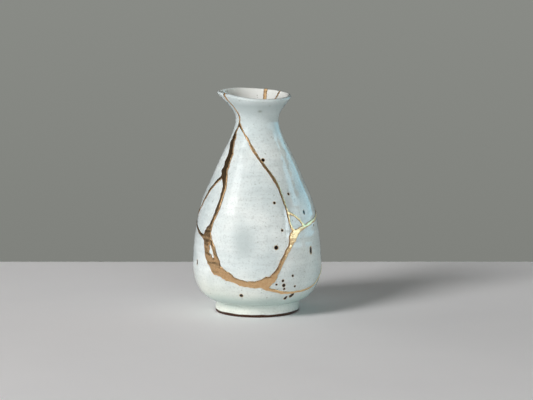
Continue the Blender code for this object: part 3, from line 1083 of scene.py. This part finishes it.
@dataclass
class Shards:
    """The broken vessel's pieces, each cut right through the wall along the cracks."""

    form: VesselForm
    glaze: bpy.types.Material
    clay: bpy.types.Material
    seam_width: float = 0.0030
    slot_share: float = 0.6
    slot_extra: float = 0.0020
    slot_step: float = 0.0015
    overrun: float = 0.0006
    # A crack that starts at the lip runs on over it, straight back from this station
    lip_overrun: float = 0.0046
    lip_station: int = 2
    sharp_angle: float = 40.0

    def slot(self, name: str, crack: Crack) -> bpy.types.Object:
        """Make the cutter for one crack.

        Args:
            name: The cutter's name.
            crack: The crack's points.

        Returns:
            A solid as wide as the gap that the gold fills.
        """
        route = np.array([(a, self.form.run_at(s, Side.OUTSIDE), w * self.seam_width) for a, s, w in crack])
        found = stations(self.form, route, self.slot_step, self.overrun)
        if from_lip(crack):
            _, normal, width, way = found[self.lip_station]
            start = found[0][0] - way * self.lip_overrun
            found = [(start, normal, width, way)] + found[self.lip_station :]
        deep = self.form.belly_wall + self.slot_extra
        rings = []
        for point, normal, width, way in found:
            side = way.cross(normal).normalized()
            half = self.slot_share * width / 2
            corners = ((-half, -deep), (half, -deep), (half, self.slot_extra), (-half, self.slot_extra))
            rings.append([point + side * u + normal * v for u, v in corners])
        cutter = swept(name, rings)
        cutter.data.materials.append(self.glaze)
        cutter.data.materials.append(self.clay)
        cutter.data.polygons.foreach_set("material_index", [1] * len(cutter.data.polygons))
        return cutter

    def cut(self, vessel: bpy.types.Object) -> bpy.types.Object:
        """Cut the vessel along every crack.

        Args:
            vessel: The whole vessel.

        Returns:
            The same object, in loose pieces.
        """
        group = bpy.data.collections.new("cutters")
        bpy.context.scene.collection.children.link(group)
        cutters = [self.slot(f"slot_{i}", crack) for i, crack in enumerate(CRACKS)]
        for cutter in cutters:
            group.objects.link(cutter)
        knife = vessel.modifiers.new("cracks", "BOOLEAN")
        knife.operation = "DIFFERENCE"
        knife.operand_type = "COLLECTION"
        knife.collection = group
        knife.use_self = True
        applied(vessel)
        for cutter in cutters:
            bpy.data.objects.remove(cutter)
        bpy.data.collections.remove(group)
        return vessel

    @staticmethod
    def loose(data: bpy.types.Mesh) -> list[bmesh.types.BMesh]:
        """Split a mesh into its separate bodies.

        Args:
            data: The mesh.

        Returns:
            A bmesh for each body.
        """
        whole = bmesh.new()
        whole.from_mesh(data)
        unseen = set(whole.verts)
        pieces = []
        while unseen:
            front = [unseen.pop()]
            body = set(front)
            while front:
                for edge in front.pop().link_edges:
                    fresh = [vert for vert in edge.verts if vert not in body]
                    body.update(fresh)
                    unseen.difference_update(fresh)
                    front.extend(fresh)
            keep = {vert.index for vert in body}
            piece = whole.copy()
            gone = [vert for vert in piece.verts if vert.index not in keep]
            bmesh.ops.delete(piece, geom=gone, context="VERTS")
            pieces.append(piece)
        whole.free()
        return pieces

    def build(self) -> list[bpy.types.Object]:
        """Build every shard.

        Returns:
            The shards.
        """
        vessel = self.form.turned()
        for material in (self.glaze, self.clay):
            vessel.data.materials.append(material)
        whole = bpy.data.objects.new("whole_vessel", vessel.data.copy())
        moved(whole.data, self.form.by_hand(coordinates(whole.data)))
        whole.data.shade_smooth()
        bpy.context.scene.collection.objects.link(whole)
        self.cut(vessel)
        bodies = self.loose(vessel.data)
        LOG.info("the cracks part the vessel into %d bodies", len(bodies))
        trees = [BVHTree.FromBMesh(body) for body in bodies]
        made = []
        for node, (angle, share) in SHARDS.items():
            spot = self.form.place(angle, self.form.run_at(share, Side.OUTSIDE))[0]
            nearest = min(range(len(bodies)), key=lambda i: trees[i].find_nearest(spot)[3])
            made.append(self.finished(node, bodies[nearest].copy(), whole))
        for body in bodies:
            body.free()
        for obj in (vessel, whole):
            bpy.data.objects.remove(obj)
        return made

    def finished(self, node: str, body: bmesh.types.BMesh, whole: bpy.types.Object) -> bpy.types.Object:
        """Give a shard its hand-made shape and the unbroken vessel's smooth shading.

        Args:
            node: The solid that the shard stands for.
            body: Its mesh.
            whole: The unbroken vessel.

        Returns:
            The shard.
        """
        shard = placed("glazed_" + node, body)
        for material in (self.glaze, self.clay):
            shard.data.materials.append(material)
        moved(shard.data, self.form.by_hand(coordinates(shard.data)))
        shard.data.shade_smooth()
        shard.data.set_sharp_from_angle(angle=math.radians(self.sharp_angle))
        normals = shard.modifiers.new("smooth_glaze", "DATA_TRANSFER")
        normals.object = whole
        normals.use_loop_data = True
        normals.data_types_loops = {"CUSTOM_NORMAL"}
        normals.loop_mapping = "POLYINTERP_NEAREST"
        applied(shard)
        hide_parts(node)
        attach(shard, BODY)
        return shard


@dataclass(frozen=True)
class Pool:
    """A place where the lacquer gathered, as a low round mound: degrees, and millimetres."""

    angle: float
    height: float
    radius: float


@dataclass
class GoldSeams:
    """The raised lacquer that fills the cracks, one network outside and its thinner lines inside."""

    form: VesselForm
    gold: bpy.types.Material
    seam_width: float = 0.0030
    crown: float = 0.00044
    full_width: float = 0.0021
    shoulder: float = 0.00080
    spread: float = 0.00022
    depth: float = 0.0011
    step: float = 0.0008
    voxel: float = 0.00034
    smoothing: int = 6
    smoothing_factor: float = 0.5
    section_points: int = 11
    keel_share: float = 0.7
    mound_detail: int = 4
    inside_share: float = 0.85
    inside_crown: float = 0.00025
    inside_depth: float = 0.0008
    inside_voxel: float = 1.3
    # A seam from the lip also comes over it, from this many of the crack's points down the inside
    turnover: int = 4
    # Ragged edges: a share of the width, with finer ones among them
    ragged: float = 0.30
    rag_length: float = 0.0046
    fine_rag_share: float = 0.6
    fine_rags: float = 2.9
    least_half: float = 0.4
    # Low lumps, and how many waves of them go to a metre
    lumps: float = 0.00002
    lump_waves: float = 480
    fine_lump_share: float = 0.6
    fine_lump_waves: float = 1150
    pools: tuple[Pool, ...] = (
        Pool(-56.0, 49.6, 2.0),
        Pool(-52.6, 50.0, 2.4),
        Pool(-50.6, 46.8, 2.0),
        Pool(-49.4, 43.5, 1.5),
        Pool(-50.0, 41.5, 1.5),
        Pool(-47.6, 39.6, 1.3),
        Pool(-46.6, 38.8, 1.8),
        Pool(-42.8, 36.0, 2.5),
        Pool(-39.6, 33.0, 2.7),
        Pool(-35.2, 30.8, 2.6),
        Pool(-26.4, 28.5, 2.2),
        Pool(38.8, 53.8, 2.7),
        Pool(34.4, 50.2, 2.1),
    )
    # Where in the noise the ragged edges are read: one edge on this side of it, one on the other
    seed: Vector = field(default_factory=lambda: Vector((3.1, 7.7, 1.9)))

    def mound(self, name: str, pool: Pool) -> bpy.types.Object:
        """Shape one pool.

        Args:
            name: The mound's name.
            pool: Where the lacquer gathered.

        Returns:
            A closed solid.
        """
        run = self.form.run_at(pool.height * MM / self.form.lip_height, Side.OUTSIDE)
        point, normal = self.form.place(pool.angle, run)
        mesh = bmesh.new()
        bmesh.ops.create_icosphere(mesh, subdivisions=self.mound_detail, radius=1)
        for vert in mesh.verts:
            vert.co.z *= self.crown if vert.co.z > 0 else self.depth
        bmesh.ops.scale(mesh, vec=(pool.radius * MM, pool.radius * MM, 1), verts=mesh.verts)
        bmesh.ops.rotate(mesh, matrix=normal.to_track_quat("Z", "Y").to_matrix(), verts=mesh.verts)
        bmesh.ops.translate(mesh, vec=point, verts=mesh.verts)
        return placed(name, mesh)

    def route(self, crack: Crack, side: Side) -> np.ndarray:
        """The line of a seam on the skin.

        Args:
            crack: The crack's points.
            side: The skin that the seam lies on. An outside seam that starts at the lip comes
                over it from a little way down the inside.

        Returns:
            Rows of angle, distance from the lip's top and width.
        """
        share_of = 1.0 if side is Side.OUTSIDE else self.inside_share
        rows = [(a, self.form.run_at(s, side), w * self.seam_width * share_of) for a, s, w in crack]
        if from_lip(crack) and side is Side.OUTSIDE:
            down = crack[self.turnover : 0 : -1]
            rows = [(a, self.form.run_at(s, Side.INSIDE), w * self.seam_width) for a, s, w in down] + rows
        return np.array(rows)

    def ridge(self, name: str, route: np.ndarray, side: Side) -> bpy.types.Object:
        """Sweep one lumpy ridge along a crack.

        Args:
            name: The ridge's name.
            route: Rows of angle, distance from the lip's top and width.
            side: The skin that it lies on.

        Returns:
            A closed solid.
        """
        outside = side is Side.OUTSIDE
        depth = self.depth if outside else self.inside_depth
        rings = []
        for point, normal, width, way in stations(self.form, route, self.step):
            across = way.cross(normal).normalized()
            halves = []
            for hand in (-1, 1):
                spot = point / self.rag_length + self.seed * hand
                fine = self.fine_rag_share * noise.noise(spot * self.fine_rags)
                rag = self.ragged * width * (noise.noise(spot) + fine)
                halves.append(max(self.least_half * width, width / 2 + rag) + self.spread)
            top = (self.crown if outside else self.inside_crown) * min(1.0, width / self.full_width)
            ring = []
            for turn in np.linspace(-math.pi / 2, math.pi / 2, self.section_points):
                half = halves[0] if turn < 0 else halves[1]
                out = half * abs(math.sin(turn))
                shoulder = min(half, self.shoulder)
                fall = max(0.0, out - half + shoulder) / shoulder
                rise = top * math.sqrt(max(0.0, 1 - fall * fall))
                ring.append(point + across * math.copysign(out, turn) + normal * rise)
            ring.append(point + across * halves[1] * self.keel_share - normal * depth)
            ring.append(point - across * halves[0] * self.keel_share - normal * depth)
            rings.append(ring)
        return swept(name, rings)

    def network(self, name: str, side: Side) -> bpy.types.Object:
        """Join the ridges on one skin into a single flowing body.

        Args:
            name: The piece's name.
            side: The skin.

        Returns:
            The piece.
        """
        routes = [self.route(crack, side) for crack in CRACKS]
        if side is Side.INSIDE:
            routes.append(np.array([(a, down * MM, w * self.seam_width) for a, down, w in HAIRLINE]))
        ridges = [self.ridge(f"ridge_{i}", route, side) for i, route in enumerate(routes)]
        if side is Side.OUTSIDE:
            ridges += [self.mound(f"mound_{i}", pool) for i, pool in enumerate(self.pools)]
        joined = bmesh.new()
        for ridge in ridges:
            joined.from_mesh(ridge.data)
            bpy.data.objects.remove(ridge)
        piece = placed(name, joined)
        flow = piece.modifiers.new("flow", "REMESH")
        flow.mode = "VOXEL"
        flow.voxel_size = self.voxel if side is Side.OUTSIDE else self.inside_voxel * self.voxel
        applied(piece)
        body = bmesh.new()
        body.from_mesh(piece.data)
        for _ in range(self.smoothing):
            bmesh.ops.smooth_vert(
                body,
                verts=body.verts,
                factor=self.smoothing_factor,
                use_axis_x=True,
                use_axis_y=True,
                use_axis_z=True,
            )
        body.normal_update()
        for vert in body.verts:
            fine = self.fine_lump_share * noise.noise(vert.co * self.fine_lump_waves)
            vert.co += vert.normal * self.lumps * (noise.noise(vert.co * self.lump_waves) + fine)
        body.to_mesh(piece.data)
        body.free()
        self.mark_rise(piece)
        moved(piece.data, self.form.by_hand(coordinates(piece.data)))
        piece.data.shade_smooth()
        piece.data.materials.append(self.gold)
        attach(piece, BODY)
        return piece

    def mark_rise(self, piece: bpy.types.Object) -> None:
        """Store each point's height above the glaze, for the gold's thin edges.

        Args:
            piece: The piece, before its hand-made shape.
        """
        skin = self.form.skin
        tree = KDTree(len(skin))
        for i, (radius, height) in enumerate(skin):
            tree.insert((radius, 0, height), i)
        tree.balance()
        rises = []
        for x, y, z in coordinates(piece.data):
            radius = math.hypot(x, y)
            index = tree.find((radius, 0, z))[1]
            off = np.array((radius, z)) - skin[index]
            rises.append(float(off @ self.form.skin_across[index]))
        attribute = piece.data.attributes.new("rise", "FLOAT", "POINT")
        attribute.data.foreach_set("value", rises)

    def build(self) -> list[bpy.types.Object]:
        """Build the gold outside and inside.

        Returns:
            The two pieces.
        """
        outside = self.network("gold_seams_raised", Side.OUTSIDE)
        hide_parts("gold_seams")
        inside = self.network("gold_seams_within", Side.INSIDE)
        return [outside, inside]


class Lights(Enum):
    """What a panel lights: the form of every matt surface, or only the gloss that mirrors it."""

    FORM = "form"
    GLOSS = "gloss"


@dataclass(frozen=True)
class SoftBox:
    """A softly glowing panel that faces the vase.

    Its middle is given by degrees round from the camera's side, with the right positive, and
    degrees up. Its width and height are in degrees too, as the vase sees them.
    """

    name: str
    around: float
    up: float
    wide: float
    tall: float
    glow: float
    lights: Lights
    colour: str = "#FFFFFF"
    round: bool = False
    distance: float = 3.0

    def build(self, centre: Vector) -> bpy.types.Object:
        """Place the panel.

        Args:
            centre: What it faces.

        Returns:
            The light.
        """
        light = bpy.data.lights.new(self.name, "AREA")
        light.shape = "ELLIPSE" if self.round else "RECTANGLE"
        light.size = 2 * self.distance * math.tan(math.radians(self.wide / 2))
        light.size_y = 2 * self.distance * math.tan(math.radians(self.tall / 2))
        area = light.size * light.size_y * (math.pi / 4 if self.round else 1)
        light.energy = self.glow * math.pi * area
        light.color = linear(self.colour)[:3]
        around, up = math.radians(self.around), math.radians(self.up)
        away = Vector((math.sin(around) * math.cos(up), -math.cos(around) * math.cos(up), math.sin(up)))
        obj = bpy.data.objects.new(self.name, light)
        obj.location = centre + away * self.distance
        obj.rotation_euler = away.to_track_quat("Z", "Y").to_euler()
        obj.visible_camera = False
        obj.visible_diffuse = self.lights is Lights.FORM
        obj.visible_glossy = self.lights is Lights.GLOSS
        bpy.context.scene.collection.objects.link(obj)
        return obj


@dataclass
class Studio:
    """The pale table, the grey room and the soft light."""

    centre: Vector = field(default_factory=lambda: Vector((0, 0, 0.06)))
    table_reach: float = 1.6
    table_behind: float = 0.175
    table_thick: float = 0.030
    table_round: float = 0.012
    table_segments: int = 8
    table_sharp: float = 30.0
    boxes: tuple[SoftBox, ...] = (
        SoftBox("window_key", -47, 32, 22, 23, 18.0, Lights.FORM, "#FFFDFC", round=True),
        SoftBox("room_front", 8, 6, 42, 22, 6.2, Lights.FORM, "#FFFEFA"),
        SoftBox("room_left", -112, 4, 50, 14, 7.0, Lights.FORM),
        SoftBox("room_right", 114, 2, 50, 13, 4.5, Lights.FORM, "#D2F5F3"),
        SoftBox("room_back", 180, 5, 50, 14, 1.6, Lights.FORM),
        SoftBox("window_left", -58, 27, 19, 21, 3.0, Lights.GLOSS),
        SoftBox("window_left_gap", -52, 11.5, 7, 4, 2.2, Lights.GLOSS, round=True),
        SoftBox("window_right_gap", 60, 12, 6, 13, 6.5, Lights.GLOSS, "#E0F4FF"),
        SoftBox("window_right_a", 94, 23, 15, 9, 3.3, Lights.GLOSS, "#98DEFA"),
        SoftBox("window_right_b", 120, 9, 44, 21, 1.9, Lights.GLOSS, "#84DAFA"),
        SoftBox("window_right_c", 139, 33, 6, 16, 2.0, Lights.GLOSS, "#A8E0F6"),
        SoftBox("window_right_low", 82, 8, 26, 18, 2.6, Lights.GLOSS, "#C0ECFF", round=True),
    )
    # The wall that the camera sees, and where it turns from low to high, up the sky
    room_high: str = "#8A8C87"
    room_low: str = "#7F817C"
    room_edge: tuple[float, float] = (-0.19, -0.10)
    # The even light that fills the shadows, from low to high
    soft_low: str = "#1B150F"
    soft_high: str = "#362E25"
    soft_start: float = -0.1
    # What the gloss mirrors: walls from left to right, brighter by the floor, and the ceiling
    wall_stops: Stops = ((0.0, 0.03), (0.4, 0.035), (0.6, 0.06), (0.9, 0.14))
    wall_glow: float = 3.0
    wall_glow_height: float = 0.3
    ceiling: str = "#F0F0EE"
    ceiling_stops: Stops = ((0.75, 0.0), (0.9, 1.0))
    sensor: float = 36.0
    lens: float = 243.15
    stand: tuple[float, float, float] = (0.0058, -2.2053, 0.4384)
    tilt: float = 80.5

    def table(self) -> bpy.types.Object:
        """Build the table with its softly rounded far edge.

        Returns:
            The table.
        """
        mesh = bmesh.new()
        bmesh.ops.create_cube(mesh, size=1)
        depth = self.table_reach + self.table_behind
        bmesh.ops.scale(mesh, vec=(2 * self.table_reach, depth, self.table_thick), verts=mesh.verts)
        middle = (0, self.table_behind - depth / 2, -self.table_thick / 2)
        bmesh.ops.translate(mesh, vec=middle, verts=mesh.verts)
        bmesh.ops.bevel(
            mesh,
            geom=mesh.edges[:],
            offset=self.table_round,
            affect="EDGES",
            segments=self.table_segments,
            profile=0.5,
            material=-1,
        )
        table = placed("table", mesh)
        table.data.shade_smooth()
        table.data.set_sharp_from_angle(angle=math.radians(self.table_sharp))
        table.data.materials.append(TablePaint().material())
        return table

    def room(self) -> None:
        """Fill the world with the room's grey and its light."""
        world = bpy.data.worlds.new("room")
        world.use_nodes = True
        tree = world.node_tree
        tree.nodes.clear()
        where = add(tree, "TexCoord", out="Generated")
        part = add(tree, "SeparateXYZ", {0: where}).node.outputs
        x, height = part["X"], part["Z"]
        edge = {"Value": height, "From Min": self.room_edge[0], "From Max": self.room_edge[1]}
        turn = add(tree, "MapRange", edge)
        seen = add(tree, "Mix", {0: turn, 6: self.room_low, 7: self.room_high}, 2, data_type="RGBA")
        lift = add(tree, "MapRange", {0: height, "From Min": self.soft_start, "From Max": 1.0})
        soft = add(tree, "ValToRGB", {0: lift}, stops=((0.0, self.soft_low), (1.0, self.soft_high)))
        side = add(tree, "MapRange", {0: x, "From Min": -1.0, "From Max": 1.0})
        walls = add(tree, "ValToRGB", {0: side}, stops=self.wall_stops)
        glow = {0: height, "From Min": 0.0, "From Max": self.wall_glow_height, "To Min": self.wall_glow}
        faded = add(tree, "MapRange", glow)
        walls = add(tree, "VectorMath", {0: walls, "Scale": faded}, operation="SCALE")
        overhead = add(tree, "ValToRGB", {0: lift}, stops=self.ceiling_stops)
        gleam = add(tree, "Mix", {0: overhead, 6: walls, 7: self.ceiling}, 2, data_type="RGBA")
        rays = add(tree, "LightPath").node.outputs
        lit = add(tree, "Mix", {0: rays["Is Glossy Ray"], 6: soft, 7: gleam}, 2, data_type="RGBA")
        shown = add(tree, "Mix", {0: rays["Is Camera Ray"], 6: lit, 7: seen}, 2, data_type="RGBA")
        surface = add(tree, "Background", {"Color": shown})
        add(tree, "OutputWorld", {"Surface": surface})
        bpy.context.scene.world = world

    def camera(self) -> bpy.types.Object:
        """Stand the camera where the photograph was taken from.

        Returns:
            The camera.
        """
        data = bpy.data.cameras.new("camera")
        data.sensor_width = self.sensor
        data.lens = self.lens
        camera = bpy.data.objects.new("camera", data)
        camera.location = self.stand
        camera.rotation_euler = (math.radians(self.tilt), 0, 0)
        bpy.context.scene.collection.objects.link(camera)
        bpy.context.scene.camera = camera
        return camera

    def build(self) -> None:
        """Build the table, room, lights and camera."""
        self.camera()
        self.room()
        self.table()
        for box in self.boxes:
            box.build(self.centre)
        bpy.context.scene.view_settings.view_transform = "Standard"


def report(pieces: list[bpy.types.Object]) -> None:
    """Log each piece's size.

    Args:
        pieces: The pieces.
    """
    for piece in pieces:
        triangles = sum(len(polygon.vertices) - 2 for polygon in piece.data.polygons)
        size = ", ".join(f"{side / MM:.1f}" for side in piece.dimensions)
        LOG.info("%s: %d triangles, %s mm", piece.name, triangles, size)


def main() -> None:
    """Build the studio, the shards and the gold."""
    logging.basicConfig(level=logging.INFO, format="%(message)s")
    Studio().build()
    form = VesselForm()
    glaze = CeladonGlaze().material(form)
    shards = Shards(form, glaze, BrokenClay().material()).build()
    gold = GoldSeams(form, GoldPowder().material()).build()
    bpy.context.view_layer.update()
    report(shards + gold)


if __name__ == "__main__":
    main()
